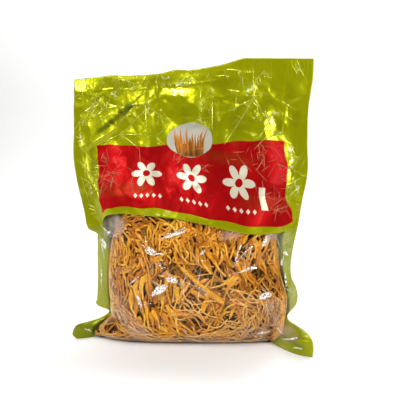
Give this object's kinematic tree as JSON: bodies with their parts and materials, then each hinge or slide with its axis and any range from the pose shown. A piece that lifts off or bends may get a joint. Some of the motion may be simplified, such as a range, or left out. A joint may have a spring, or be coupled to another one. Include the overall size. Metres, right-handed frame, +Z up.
{
  "type": "sealed bag of dried cordyceps",
  "caption": "Sealed flat plastic bag, standing on its folded base, with a clear lower front over packed dried cordyceps clubs.",
  "frame": {"origin": "centre of the base, where the bag stands", "axes": "+Z up the bag's height, -Y out of its front and clear window, +X to the right as seen from the front"},
  "size_m": [0.24, 0.0722, 0.2704],
  "materials": {
    "clear_film": "clear glossy plastic film",
    "printed_film": "glossy plastic film printed green from behind",
    "packed_stalks": "dry fibrous fungus",
    "dried_club": "dry wrinkled fungus"
  },
  "bodies": {
    "root": {"clear_window": "clear_film", "printed_front": "printed_film", "back_film": "printed_film", "strand_mass": "packed_stalks", "club_01": "dried_club", "club_02": "dried_club", "club_03": "dried_club", "club_04": "dried_club", "club_05": "dried_club", "club_06": "dried_club", "club_07": "dried_club", "club_08": "dried_club", "club_09": "dried_club", "club_10": "dried_club", "club_11": "dried_club", "club_12": "dried_club", "club_13": "dried_club", "club_14": "dried_club", "club_15": "dried_club", "club_16": "dried_club", "club_17": "dried_club", "club_18": "dried_club", "club_19": "dried_club", "club_20": "dried_club", "club_21": "dried_club", "club_22": "dried_club", "club_23": "dried_club", "club_24": "dried_club", "club_25": "dried_club", "club_26": "dried_club", "club_27": "dried_club", "club_28": "dried_club", "club_29": "dried_club", "club_30": "dried_club", "club_31": "dried_club", "club_32": "dried_club"}
  },
  "joints": []
}
